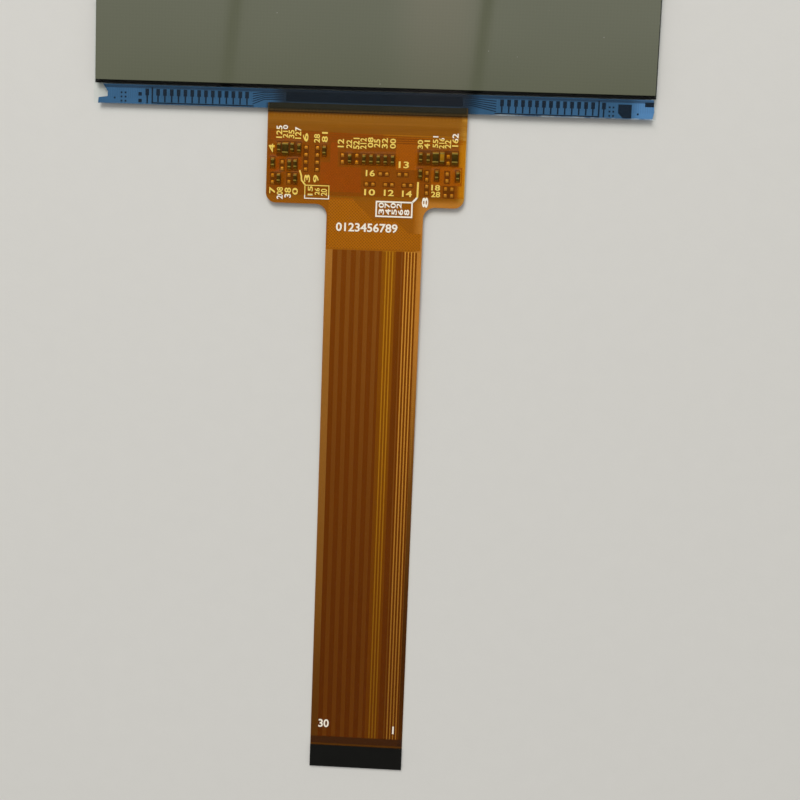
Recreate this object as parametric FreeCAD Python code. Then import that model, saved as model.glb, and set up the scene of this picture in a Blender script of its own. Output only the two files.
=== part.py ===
import FreeCAD, Part
import os
from FreeCAD import Vector

# LCD panel: a bare liquid crystal cell with its flex circuit, lying display side down.
# Millimetres. The origin is the centre of the display face. +X runs along the ledge,
# +Y away from the tail and +Z up, towards the rear of the cell.
# Everything on the ledge and the flex is drawn from the ledge's edge (y = 0 there,
# negative outwards) and moved into place when it is written.

# Cell
cell_width = 89.1
front_glass_height = 52.4
glass_thickness = 0.5
cell_gap = 0.02
filter_thickness = 0.008
polariser_thickness = 0.2
front_polariser_inset = 0.6
rear_polariser_inset = 0.35
rear_polariser_setback = 0.47
seal_inset = 0.12
seal_width = 1.6

# Driver chip and the conductive film under it
chip_length = 28.1
chip_depth = 1.5
chip_height = 0.3
chip_centre = 0.25
chip_gap = 0.2
chip_clearance = 0.4
bond_overlap = 1.0
bond_thickness = 0.02

# Metal pads and lines on the ledge, and the coat over them
metal_thickness = 0.01
coat_thickness = 0.2
coat_margin = 0.1
pad_pitch = 1.1
left_row_gap = 2.8
right_row_gap = 4.7
left_row_end = 10.15
right_row_end = 9.75
pad_width = 0.6
pad_length = 1.05
pad_setback = 0.6
stem_width = 0.25
stem_gap = 0.05
bus_bottom = 0.2
bus_width = 0.2
square_size = 2.1
square_cut = 0.75
dot_size = 0.28
fan_count = 5
fan_line = 0.14
fan_gap = 0.3
fan_end_gap = 0.9
fan_near_pitch = 0.27
fan_far_pitch = 0.4

# Flex circuit
base_thickness = 0.05
copper_thickness = 0.02
cover_thickness = 0.04
left_field = 12.15
middle_field = 12.45
right_field = 7.2
head_centre = -0.75
head_margin = 1.53
head_corner = 1.6
neck_corner = 1.8
neck_length = 7.15
contact_count = 30
contact_pitch = 0.5
contact_width = 0.35
contact_length = 4.1
edge_margin = 0.5
tail_centre = 0.98
tail_end = 108.35
stiffener_length = 3.65
end_thickness = 0.3
bend_gap = 1.15
bend_length = 50.0
bend_steps = 10

# Copper on the flex
finger_pitch = 0.55
finger_width = 0.3
finger_length = 2.3
finger_inset = 0.6
cover_setback = 0.25
under_cover_setback = 0.6
track_setback = 1.5
track_left_margin = 1.17
track_right_margin = 0.73
wide_gap_count = 5
wide_gap_width = 0.7
wide_gap_shift = 0.2
wide_first_count = 4
fine_gap_width = 0.2
fine_gap_shift = 0.125
fine_first_count = 19
open_gap_steps = (0, 1, 2, 6, 7, 8, 9)
backed_gap_steps = (5,)
ground_inset = 0.27
ground_rise = 1.1
ground_top_width = 3.8
ground_shelf_drop = 3.5
ground_shelf_run = 3.6
ground_foot_drop = 1.8
ground_foot_run = 1.9
ground_foot_width = 2.1
area_reach = 3.5
area_waist_left = 1.95
area_waist_right = 0.75
area_end = 3.05
bus_trace_count = 4
bus_trace_pitch = 0.35
bus_trace_width = 0.15
bus_trace_start = 3.5
window_margin = 0.15
copper_clearance = 0.12

# Pads, solder and chip parts on the head
tin_thickness = 0.01
land_width = 0.5
land_length = 0.55
land_spacing = 1.05
row_pitch = 1.14
solder_seat = 0.015
solder_reach = 0.22
solder_climb = 0.6
cap_wrap = 0.02
cap_length = 0.24

# Tape over the chip parts
tape_thickness = 0.05
tape_side_inset = 0.12
tape_top_left = 3.05
tape_top_right = 4.05
tape_bottom_left = 13.4
tape_bottom_right = 13.15
tent_clearance = 0.03
tent_slope = 0.8
tent_margin = 0.12

# Heights that follow from the sizes above
front_glass_z = polariser_thickness
gap_z = front_glass_z + glass_thickness
rear_glass_z = gap_z + cell_gap
rear_film_z = rear_glass_z + glass_thickness

# Layers of the flex, from the underside of its lower cover film
under_copper_low = cover_thickness
base_low = under_copper_low + copper_thickness
copper_low = base_low + base_thickness
cover_low = copper_low + copper_thickness
cover_top = cover_low + cover_thickness
bond_height = rear_glass_z - bond_thickness - cover_low

# Plan of the ledge, from its edge inwards
chip_setback = bond_overlap + chip_gap
ledge_depth = chip_setback + chip_depth + chip_clearance
edge_y = -(front_glass_height / 2 + ledge_depth)
pad_top = ledge_depth - pad_setback
pad_bottom = pad_top - pad_length
bus_top = bus_bottom + bus_width

# Plan of the flex across its width
head_width = left_field + middle_field + right_field
head_left = head_centre - head_width / 2
head_right = head_centre + head_width / 2
middle_start = head_left + left_field
right_start = head_right - right_field
tail_width = (contact_count - 1) * contact_pitch + 2 * edge_margin
tail_left = tail_centre - tail_width / 2
tail_right = tail_centre + tail_width / 2

# Chip parts by kind: length, width and height
PART_SIZES = {
    "chip_capacitor": (1.0, 0.5, 0.42),
    "chip_resistor": (1.0, 0.5, 0.32),
    "chip_inductor": (1.5, 0.95, 0.45),
    "diode": (1.4, 0.7, 0.42),
}


def box(x0, x1, y0, y1, z0, z1):
    return Part.makeBox(x1 - x0, y1 - y0, z1 - z0, Vector(x0, y0, z0))


def prism(points, z0, z1):
    ring = [Vector(x, y, z0) for x, y in points + points[:1]]
    face = Part.Face(Part.makePolygon(ring))
    return face.extrude(Vector(0, 0, z1 - z0))


def corners(x0, x1, y0, y1):
    return [(x0, y0), (x1, y0), (x1, y1), (x0, y1)]


def compound(solids):
    return Part.makeCompound(solids)


def write(name, shape):
    shape.exportStep("parts/" + name + ".step")


def write_from_edge(name, shape):
    moved = shape.copy()
    moved.translate(Vector(0, edge_y, 0))
    write(name, moved)


# The cell


def cell_plate(inset, low, high):
    half_x = cell_width / 2 - inset
    half_y = front_glass_height / 2 - inset
    return box(-half_x, half_x, -half_y, half_y, low, high)


def array_glass():
    half = cell_width / 2
    return box(-half, half, edge_y, front_glass_height / 2, rear_glass_z, rear_film_z)


def rear_polariser():
    half = cell_width / 2 - rear_polariser_inset
    low_y = -front_glass_height / 2 + rear_polariser_setback
    high_y = front_glass_height / 2 - rear_polariser_inset
    return box(-half, half, low_y, high_y, rear_film_z, rear_film_z + polariser_thickness)


def seal_frame():
    outer = cell_plate(seal_inset, gap_z, rear_glass_z)
    return outer.cut(cell_plate(seal_inset + seal_width, gap_z, rear_glass_z))


def build_cell():
    inner = seal_inset + seal_width
    filter_top = gap_z + filter_thickness
    write("front_polariser", cell_plate(front_polariser_inset, 0, polariser_thickness))
    write("colour_filter_glass", cell_plate(0, front_glass_z, gap_z))
    write("colour_filter", cell_plate(inner, gap_z, filter_top))
    write("liquid_crystal", cell_plate(inner, filter_top, rear_glass_z))
    write("seal_frame", seal_frame())
    write("array_glass", array_glass())
    write("rear_polariser", rear_polariser())


# The ledge


def chip_outline(low, high):
    x0 = chip_centre - chip_length / 2
    return box(x0, x0 + chip_length, chip_setback, chip_setback + chip_depth, low, high)


def fan_knee(side):
    """Where the lines from the chip turn towards the pads, clear of the chip and the head."""
    chip_end = chip_centre + side * chip_length / 2
    head_end = head_centre + side * head_width / 2
    return side * (max(side * chip_end, side * head_end) + 2 * fan_gap)


def row_places(side):
    """Pads of one row, from the fan outwards, as many as the ledge has room for."""
    gap, end = (left_row_gap, left_row_end) if side < 0 else (right_row_gap, right_row_end)
    first = side * fan_knee(side) + gap
    last = cell_width / 2 - end
    count = int((last - first) / pad_pitch) + 1
    return [side * (first + step * pad_pitch) for step in range(count)]


def row_pads():
    """T-shaped test pads: two rows, one to each side of the driver chip."""
    return [ledge_pad(x) for side in (-1, 1) for x in row_places(side)]


def ledge_pad(x, foot=None):
    foot = bus_top + stem_gap if foot is None else foot
    half = pad_width / 2
    stem = stem_width / 2
    points = [
        (x - half, pad_top), (x - half, pad_bottom), (x - stem, pad_bottom), (x - stem, foot),
        (x + stem, foot), (x + stem, pad_bottom), (x + half, pad_bottom), (x + half, pad_top),
    ]
    return prism(points, rear_glass_z - metal_thickness, rear_glass_z)


def metal(x0, x1, y0, y1):
    return box(x0, x1, y0, y1, rear_glass_z - metal_thickness, rear_glass_z)


def metal_square(x, y, size):
    return metal(x - size / 2, x + size / 2, y - size / 2, y + size / 2)


def outer_pads():
    """Test squares, dots and the alignment mark between the rows and the glass's ends."""
    left = -cell_width / 2
    right = cell_width / 2
    pads = [ledge_pad(left + 8.45, bus_bottom), ledge_pad(right - 8.1, bus_bottom)]
    pads += [metal_square(left + 7.3, y, 2 * dot_size) for y in (0.6, 1.65)]
    for y in (0.5, 1.15, 1.8):
        pads += [metal_square(x, y, dot_size) for x in (left + 4.3, left + 4.95)]
        pads += [metal_square(x, y, dot_size) for x in (right - 7.2, right - 6.6)]
    pads.append(metal_square(left + 3.2, 0.95, dot_size))
    pads.append(metal_square(right - 2.75, 0.85, dot_size))
    low = bus_bottom
    mark = right - 5.85
    pads.append(prism([
        (mark, low + square_cut), (mark + square_cut, low), (mark + square_size, low),
        (mark + square_size, low + square_size), (mark, low + square_size),
    ], rear_glass_z - metal_thickness, rear_glass_z))
    pads.append(metal(right - 1.7, right - 0.3, pad_top - 0.5, pad_top + 0.2))
    return pads


def fan(side):
    """Lines that leave one end of the chip and spread towards the row of pads."""
    near = chip_centre + side * (chip_length / 2 + fan_gap)
    knee = fan_knee(side)
    far = row_places(side)[0] - side * fan_end_gap
    lines = []
    for step in range(fan_count):
        y_near = chip_setback + fan_line + step * fan_near_pitch
        y_far = bus_top + fan_line + step * fan_far_pitch
        points = [
            (near, y_near), (near, y_near + fan_line), (knee, y_near + fan_line),
            (far, y_far + fan_line), (far, y_far), (knee, y_near),
        ]
        lines.append(prism(points, rear_glass_z - metal_thickness, rear_glass_z))
    return lines


def ledge_lines():
    """The line under each row of pads, its riser at the outer end, and the two fans."""
    lines = []
    for side in (-1, 1):
        places = row_places(side)
        inner = places[0] - side * pad_pitch
        outer = places[-1] + side * 0.8
        beyond = outer + side * stem_width
        lines.append(metal(min(inner, outer), max(inner, outer), bus_bottom, bus_top))
        lines.append(metal(min(outer, beyond), max(outer, beyond), bus_bottom, pad_top + stem_width))
        lines += fan(side)
    return lines


def ledge_coat(metal_shapes):
    """Coat between the glass's end and the front glass, open at the chip and the flex."""
    left = -cell_width / 2
    right = cell_width / 2
    outline = [
        (left + 0.5, coat_margin), (left + 0.6, 0.95), (left + 2.05, 1.15), (left + 2.1, 1.9),
        (left + 1.3, ledge_depth), (right - 0.35, ledge_depth), (right - 0.2, 1.2),
        (right - 0.45, coat_margin),
    ]
    low = rear_glass_z - coat_thickness
    coat = prism(outline, low, rear_glass_z)
    flex_pocket = box(head_left, head_right, 0, bond_overlap, low, rear_glass_z)
    return coat.cut([chip_outline(low, rear_glass_z), flex_pocket] + metal_shapes)


def build_ledge():
    chip_top = rear_glass_z - bond_thickness
    pads = row_pads() + outer_pads()
    lines = ledge_lines()
    write_from_edge("driver_chip", chip_outline(chip_top - chip_height, chip_top))
    write_from_edge("chip_bond", chip_outline(chip_top, rear_glass_z))
    write_from_edge("ledge_pads", compound(pads))
    write_from_edge("ledge_tracks", compound(lines))
    write_from_edge("ledge_coat", ledge_coat(pads + lines))


# The flex sheet


def sheet_height(y):
    """Height of the flex's underside: level at the glass, on the ground beyond the bend."""
    share = (-y - bend_start) / bend_length
    share = min(max(share, 0.0), 1.0)
    return bond_height * (1 - share * share * (3 - 2 * share))


def stations(y_from, y_to):
    """Where one layer's profile has a corner, from the glass outwards."""
    step = bend_length / bend_steps
    bends = [-(bend_start + step * count) for count in range(bend_steps + 1)]
    return [y_from] + [y for y in bends if y_to < y < y_from] + [y_to]


def strip(x0, x1, y_from, y_to, low, high):
    """One straight layer of the flex that follows its drop to the ground."""
    along = stations(y_from, y_to)
    outward = [Vector(x0, y, sheet_height(y) + high) for y in along]
    back = [Vector(x0, y, sheet_height(y) + low) for y in reversed(along)]
    face = Part.Face(Part.makePolygon(outward + back + outward[:1]))
    return face.extrude(Vector(x1 - x0, 0, 0))


def corner_arc(centre_x, centre_y, radius, start, middle, end):
    points = [Vector(centre_x + radius * x, centre_y + radius * y, 0) for x, y in (start, middle, end)]
    return Part.Arc(*points).toShape()


def flex_outline(top, bottom):
    """Plan of the head and the tail, with the head's top at one height and the tail's end."""
    slant = 0.5 ** 0.5
    head_low = -head_depth
    arcs = [
        corner_arc(head_right - head_corner, head_low + head_corner, head_corner,
                   (1, 0), (slant, -slant), (0, -1)),
        corner_arc(tail_right + neck_corner, head_low - neck_corner, neck_corner,
                   (0, 1), (-slant, slant), (-1, 0)),
        corner_arc(tail_left - neck_corner, head_low - neck_corner, neck_corner,
                   (1, 0), (slant, slant), (0, 1)),
        corner_arc(head_left + head_corner, head_low + head_corner, head_corner,
                   (0, -1), (-slant, -slant), (-1, 0)),
    ]
    straight = [
        (arcs[0].Vertexes[-1].Point, arcs[1].Vertexes[0].Point),
        (arcs[1].Vertexes[-1].Point, Vector(tail_right, bottom, 0)),
        (Vector(tail_right, bottom, 0), Vector(tail_left, bottom, 0)),
        (Vector(tail_left, bottom, 0), arcs[2].Vertexes[0].Point),
        (arcs[2].Vertexes[-1].Point, arcs[3].Vertexes[0].Point),
        (arcs[3].Vertexes[-1].Point, Vector(head_left, top, 0)),
        (Vector(head_left, top, 0), Vector(head_right, top, 0)),
        (Vector(head_right, top, 0), arcs[0].Vertexes[0].Point),
    ]
    edges = arcs + [Part.LineSegment(a, b).toShape() for a, b in straight]
    return Part.Wire(Part.__sortEdges__(edges))


def sheet(top, bottom, low, high):
    """A whole layer of the flex: its plan cut out of one bent sheet."""
    room = 2 * (rear_film_z + end_thickness)
    cutter = Part.Face(flex_outline(top, bottom)).extrude(Vector(0, 0, room))
    cutter.translate(Vector(0, 0, -room / 2))
    return strip(head_left - 1, head_right + 1, top, bottom, low, high).common(cutter)


# Pads and chip parts


def site(x, y, kind=None, spacing=land_spacing, along="y", width=land_width):
    """One place for a part: two pads, and the kind of part on them, if any."""
    return {"x": x, "y": -y, "kind": kind, "spacing": spacing, "along": along, "width": width}


def big_site(x, y, kind):
    length, width, height = PART_SIZES[kind]
    return site(x, y, kind, length, "y", width)


def part_groups():
    """Parts by group and row: each row shares one window in the cover film."""
    cap = "chip_capacitor"
    res = "chip_resistor"
    coil = "chip_inductor"
    left = head_left
    right = head_right
    kinds = (None, res, None, res, cap, res, cap, cap)
    return {
        "left": [
            [site(left + 1.95, 6.05, cap), big_site(left + 2.95, 6.2, coil),
             site(left + 4.05, 5.95, cap), site(left + 5.15, 6.05, res)],
            [site(left + 0.98, 8.4, res)],
            [site(left + 2.5, 8.8)],
            [site(left + 3.65, 8.65, res), site(left + 4.6, 8.6, cap)],
            [site(left + 1.0, 10.95), site(left + 2.0, 10.85, cap)],
            [site(left + 3.65, 10.85), site(left + 4.65, 10.8, cap)],
        ],
        "lone": [[site(left + 9.2, 6.3, cap)]],
        "middle": [[site(middle_start + row_pitch * step, 7.45, kind)
                    for step, kind in enumerate(kinds)]],
        "bare": [
            [site(right_start - 5.8, 9.67, along="x")],
            [site(right_start - 2.76, 9.67, along="x")],
            [site(right_start - 7.97, 11.33, along="x")],
            [site(right_start - 4.93, 11.33, along="x")],
            [site(right_start - 1.93, 11.33, along="x")],
        ],
        "right": [
            [site(right - 7.18, 6.9, cap), site(right - 5.99, 6.95, cap),
             big_site(right - 4.82, 6.95, coil), big_site(right - 3.78, 6.85, "diode"),
             site(right - 2.8, 7.15), big_site(right - 1.76, 6.9, coil)],
            [site(right - 7.16, 9.5, cap)],
            [site(right - 6.09, 9.8)],
            [site(right - 4.53, 9.6, cap)],
            [site(right - 2.86, 9.88)],
            [site(right - 1.18, 9.65, res)],
            [site(right - 6.04, 11.92)],
            [site(right - 3.04, 12.22), site(right - 2.01, 12.22)],
        ],
    }


def part_rows():
    return [row for rows in part_groups().values() for row in rows]


def amplifier_rows():
    """Two columns of four bare pads for an eight-pin chip that isn't fitted."""
    columns = []
    for x in (head_left + 6.28, head_left + 8.11):
        columns.append([(x, -(5.9 + row_pitch * step)) for step in range(4)])
    return columns


def lands(place):
    """Centres of a site's two pads."""
    half = place["spacing"] / 2
    if place["along"] == "x":
        return [(place["x"] - half, place["y"]), (place["x"] + half, place["y"])]
    return [(place["x"], place["y"] - half), (place["x"], place["y"] + half)]


def land_size(place):
    if place["along"] == "x":
        return land_length, place["width"]
    return place["width"], land_length


def land_box(x, y, width, length):
    low = bond_height + copper_low
    high = low + copper_thickness + tin_thickness
    return box(x - width / 2, x + width / 2, y - length / 2, y + length / 2, low, high)


def solder_pads():
    pads = []
    for row in part_rows():
        for place in row:
            width, length = land_size(place)
            pads += [land_box(x, y, width, length) for x, y in lands(place)]
    for column in amplifier_rows():
        pads += [land_box(x, y, land_length, land_width) for x, y in column]
    return pads


def extent(centres, width, length, margin):
    xs = [x for x, y in centres]
    ys = [y for x, y in centres]
    return (min(xs) - width / 2 - margin, max(xs) + width / 2 + margin,
            min(ys) - length / 2 - margin, max(ys) + length / 2 + margin)


def window_extents(margin):
    """Plan of each window in the cover film, grown by a margin around its pads."""
    windows = []
    for row in part_rows():
        boxes = [extent(lands(place), *land_size(place), margin) for place in row]
        windows.append((min(b[0] for b in boxes), max(b[1] for b in boxes),
                        min(b[2] for b in boxes), max(b[3] for b in boxes)))
    for column in amplifier_rows():
        windows.append(extent(column, land_length, land_width, margin))
    return windows


# Plan of the flex along its length: the head ends a margin below its lowest window
head_depth = head_margin - min(window[2] for window in window_extents(window_margin))
track_start = head_depth + neck_length
bend_start = track_start + bend_gap
stiffener_start = tail_end - stiffener_length
contact_start = tail_end - contact_length
track_stop = stiffener_start - track_setback


def chip_part(place):
    """A chip part: a body with an end cap wrapped around each end."""
    length, width, height = PART_SIZES[place["kind"]]
    x = place["x"]
    y = place["y"]
    low = bond_height + cover_low + tin_thickness + solder_seat
    body = box(x - width / 2 + cap_wrap, x + width / 2 - cap_wrap, y - length / 2 + cap_length,
               y + length / 2 - cap_length, low + cap_wrap, low + height - cap_wrap)
    ends = [
        box(x - width / 2, x + width / 2, y - length / 2, y - length / 2 + cap_length,
            low, low + height),
        box(x - width / 2, x + width / 2, y + length / 2 - cap_length, y + length / 2,
            low, low + height),
    ]
    return body.fuse(ends)


def solder_joint(place, side):
    """Solder between one end of a part and its pad: a seat below and a fillet outside."""
    length, width, height = PART_SIZES[place["kind"]]
    low = bond_height + cover_low + tin_thickness
    end = length / 2
    toe = end + solder_reach
    profile = [
        (end - cap_length, low), (toe, low), (toe, low + solder_seat),
        (end, low + solder_seat + solder_climb * height), (end, low + solder_seat),
        (end - cap_length, low + solder_seat),
    ]
    x0 = place["x"] - width / 2
    ring = [Vector(x0, place["y"] + side * y, z) for y, z in profile + profile[:1]]
    face = Part.Face(Part.makePolygon(ring))
    return face.extrude(Vector(width, 0, 0))


def build_parts():
    counts = {kind: 0 for kind in PART_SIZES}
    joints = []
    for row in part_rows():
        for place in row:
            kind = place["kind"]
            if kind is None:
                continue
            counts[kind] += 1
            write_from_edge(kind + "_" + str(counts[kind]), chip_part(place))
            joints += [solder_joint(place, -1), solder_joint(place, 1)]
    write_from_edge("solder_pads", compound(solder_pads()))
    write_from_edge("solder_joints", compound(joints))


# Copper


def copper_areas():
    """Outlines of the broad copper areas on the head, as corner points."""
    top = -(bus_trace_start + bus_trace_count * bus_trace_pitch)
    wide_left = middle_start - area_reach
    slim_left = middle_start - area_waist_left
    slim_right = middle_start - area_waist_right
    wide_right = middle_start + area_end
    return [
        [(slim_left, top), (slim_right, top), (slim_right, -8.75), (wide_right, -8.75),
         (wide_right, -12.7), (slim_left, -12.7), (slim_left, -11.5), (wide_left, -11.5),
         (wide_left, -8.1), (slim_left, -8.1)],
        corners(right_start - 3.9, right_start - 0.6, -8.9, top),
        corners(head_left + 0.4, head_left + 5.6, -9.95, -7.2),
        corners(head_right - 5.4, head_right - 0.5, -11.2, -8.3),
    ]


def neck_ground():
    """Ground area of the neck: its upper edge steps down along two slants."""
    left = tail_left + ground_inset
    right = tail_right - ground_inset
    top = ground_rise - head_depth
    shelf = top - ground_shelf_drop
    foot = shelf - ground_foot_drop
    low = ground_inset - track_start
    slant = left + ground_top_width
    step = right - ground_foot_width
    return [(left, top), (slant, top), (slant + ground_shelf_run, shelf),
            (step - ground_foot_run, shelf), (step, foot), (right, foot), (right, low), (left, low)]


def head_copper():
    """Copper areas and lines on the head and the neck, kept clear of every window."""
    low = bond_height + copper_low
    high = low + copper_thickness
    outlines = copper_areas() + [neck_ground()]
    for step in range(bus_trace_count):
        y = -(bus_trace_start + step * bus_trace_pitch)
        outlines.append(corners(head_left + 0.6, head_right - 0.6, y - bus_trace_width, y))
    keep_out = [prism(corners(*window), low, high)
                for window in window_extents(window_margin + copper_clearance)]
    shapes = [prism(outline, low, high).cut(keep_out) for outline in outlines]
    return compound([solid for shape in shapes for solid in shape.Solids])


def bond_fingers():
    low = bond_height + copper_low
    usable = head_width - 2 * finger_inset
    count = int(usable / finger_pitch)
    first = head_centre - (count - 1) * finger_pitch / 2
    return compound([
        box(first + step * finger_pitch - finger_width / 2, first + step * finger_pitch + finger_width / 2,
            bond_overlap - finger_length, bond_overlap, low, low + copper_thickness)
        for step in range(count)
    ])


def contact_place(count):
    """Distance across the tail of one contact's centre, counted from the left edge."""
    return tail_left + edge_margin + count * contact_pitch


def wide_gaps():
    return [(contact_place(wide_first_count + 3 * step) - wide_gap_shift, wide_gap_width)
            for step in range(wide_gap_count)]


def fine_gaps(steps):
    return [(contact_place(fine_first_count + step) - fine_gap_shift, fine_gap_width)
            for step in steps]


def tail_tracks():
    """Tracks on top of the tail: what is left between the gaps, from left to right."""
    x = tail_left + track_left_margin
    tracks = []
    for centre, width in wide_gaps() + fine_gaps(sorted(open_gap_steps + backed_gap_steps)):
        tracks.append(strip(x, centre - width / 2, -track_start, -track_stop, copper_low, cover_low))
        x = centre + width / 2
    end = tail_right - track_right_margin
    tracks.append(strip(x, end, -track_start, -track_stop, copper_low, cover_low))
    return compound(tracks)


def return_tracks():
    """Tracks on the underside, seen as the paler stripes between the wide tracks."""
    return compound([
        strip(centre - width / 2, centre + width / 2, -track_start, -contact_start,
              under_copper_low, base_low)
        for centre, width in wide_gaps() + fine_gaps(backed_gap_steps)
    ])


def contact_fingers():
    half = contact_width / 2
    centres = [contact_place(count) for count in range(contact_count)]
    return compound([
        strip(x - half, x + half, -contact_start, -tail_end, under_copper_low, base_low)
        for x in centres
    ])


# Films, stiffener and tape


def top_cover_film():
    film = sheet(-cover_setback, -stiffener_start, cover_low, cover_top)
    low = bond_height + cover_low
    high = bond_height + cover_top
    return film.cut([box(x0, x1, y0, y1, low, high)
                     for x0, x1, y0, y1 in window_extents(window_margin)])


def contact_stiffener():
    return box(tail_left, tail_right, -tail_end, -stiffener_start,
               copper_low, under_copper_low + end_thickness)


def tent_extents():
    """Plan of the parts that each raised field of the tape passes over."""
    fields = []
    groups = part_groups()
    for name in ("left", "lone", "middle", "right"):
        places = [place for row in groups[name] for place in row if place["kind"]]
        sizes = [PART_SIZES[place["kind"]] for place in places]
        fields.append((
            min(p["x"] - s[1] / 2 for p, s in zip(places, sizes)) - tent_margin,
            max(p["x"] + s[1] / 2 for p, s in zip(places, sizes)) + tent_margin,
            min(p["y"] - s[0] / 2 for p, s in zip(places, sizes)) - tent_margin,
            max(p["y"] + s[0] / 2 for p, s in zip(places, sizes)) + tent_margin,
        ))
    return fields


def rectangle(x0, x1, y0, y1, z):
    ring = [Vector(x, y, z) for x, y in corners(x0, x1, y0, y1)]
    return Part.makePolygon(ring + ring[:1])


def tent(field, foot, peak):
    """A raised field of the tape: flat over the parts, with sloping sides."""
    x0, x1, y0, y1 = field
    run = min(tent_slope, x0 - head_left - tape_side_inset, head_right - tape_side_inset - x1)
    return Part.makeLoft([
        rectangle(x0 - run, x1 + run, y0 - tent_slope, y1 + tent_slope, foot),
        rectangle(x0, x1, y0, y1, peak),
    ], True, True)


def component_tape():
    left = head_left + tape_side_inset
    right = head_right - tape_side_inset
    low = bond_height + cover_top
    tallest = max(size[2] for size in PART_SIZES.values())
    peak = bond_height + cover_low + tin_thickness + solder_seat + tallest + tent_clearance
    flat = prism([(left, -tape_top_left), (right, -tape_top_right),
                  (right, -tape_bottom_right), (left, -tape_bottom_left)], low, low + tape_thickness)
    fields = tent_extents()
    tape = flat.fuse([tent(field, low + tape_thickness, peak + tape_thickness) for field in fields])
    tape = tape.cut([tent(field, low, peak) for field in fields])
    return tape.removeSplitter()


def build_flex():
    write_from_edge("base_film", sheet(bond_overlap, -tail_end, base_low, copper_low))
    write_from_edge("bottom_cover_film", sheet(-under_cover_setback, -contact_start, 0, cover_thickness))
    write_from_edge("top_cover_film", top_cover_film())
    write_from_edge("head_copper", head_copper())
    write_from_edge("bond_fingers", bond_fingers())
    write_from_edge("tail_tracks", tail_tracks())
    write_from_edge("return_tracks", return_tracks())
    write_from_edge("contact_fingers", contact_fingers())
    write_from_edge("contact_stiffener", contact_stiffener())
    write_from_edge("component_tape", component_tape())
    write_from_edge("flex_bond", box(head_left + 0.2, head_right - 0.2, 0.05, bond_overlap,
                                     rear_glass_z - bond_thickness, rear_glass_z))


os.makedirs("parts", exist_ok=True)
build_cell()
build_ledge()
build_flex()
build_parts()
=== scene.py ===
"""LCD panel lying display side down: finishes, small parts, print, light and camera.

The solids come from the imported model. Sizes here are millimetres measured from the ledge's
edge, as on a drawing of the ledge and the flex, and Drawing turns them into the model's metres.
"""

import logging
import math
from dataclasses import dataclass
from enum import Enum

import bmesh
import bpy
from mathutils import Matrix, Vector, noise


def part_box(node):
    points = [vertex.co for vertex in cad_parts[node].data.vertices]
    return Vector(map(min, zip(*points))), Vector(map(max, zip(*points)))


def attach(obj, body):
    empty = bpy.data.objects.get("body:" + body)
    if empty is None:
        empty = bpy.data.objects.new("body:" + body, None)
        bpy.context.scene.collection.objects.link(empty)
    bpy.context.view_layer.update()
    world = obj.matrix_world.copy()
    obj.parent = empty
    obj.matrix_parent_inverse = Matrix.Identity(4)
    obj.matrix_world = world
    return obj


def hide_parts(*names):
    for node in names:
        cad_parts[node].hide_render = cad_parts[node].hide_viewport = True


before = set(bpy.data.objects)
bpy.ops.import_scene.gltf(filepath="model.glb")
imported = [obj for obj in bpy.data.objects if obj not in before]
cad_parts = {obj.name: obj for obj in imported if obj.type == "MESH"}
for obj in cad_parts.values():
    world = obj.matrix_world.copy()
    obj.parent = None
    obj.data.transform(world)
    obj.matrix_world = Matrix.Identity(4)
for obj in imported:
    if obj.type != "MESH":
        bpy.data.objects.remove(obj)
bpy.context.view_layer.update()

LOG = logging.getLogger("lcd_panel")
MM = 0.001
MERGED = 0.0003 * MM
EDGE_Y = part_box("array_glass")[0].y
ROOT = "root"

Triple = tuple[float, float, float]
Colour = Triple
Point = tuple[float, float]
Box = tuple[Vector, Vector]
Numeral = tuple[str, float, float, float, float]

# Where the look of the flex changes along its length: the two ends of a soft step, or one line.
EDGE_SHADE = (-0.9, -0.05)
NECK_TURN = (-13.3, -14.3)
TAIL_START = -21.8
END_ZONE = (-103.0, -103.3)


def paint(red: int, green: int, blue: int) -> Colour:
    """A colour as it looks on a screen, 0 to 255, as the linear colour that shaders take."""
    shares = (red / 255, green / 255, blue / 255)
    return tuple(s / 12.92 if s <= 0.04045 else ((s + 0.055) / 1.055) ** 2.4 for s in shares)


class Drawing:
    """Turns millimetres from the ledge's edge into the model's metres."""

    @staticmethod
    def at(x: float, y: float, z: float) -> Vector:
        """A point of the drawing in the model."""
        return Vector((x * MM, y * MM + EDGE_Y, z * MM))

    @staticmethod
    def span(node: str) -> Box:
        """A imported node's lowest and highest corner in millimetres of the drawing."""
        low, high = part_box(node)
        shift = Vector((0, EDGE_Y, 0))
        return (low - shift) / MM, (high - shift) / MM


def add_object(name: str, data: bpy.types.ID) -> bpy.types.Object:
    """A new object in the scene."""
    made = bpy.data.objects.new(name, data)
    bpy.context.scene.collection.objects.link(made)
    return made


def corners(verts: list) -> Box:
    """The lowest and the highest corner round some vertices."""
    return tuple(Vector(map(pick, zip(*(vert.co for vert in verts)))) for pick in (min, max))


# Shader graphs


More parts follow.
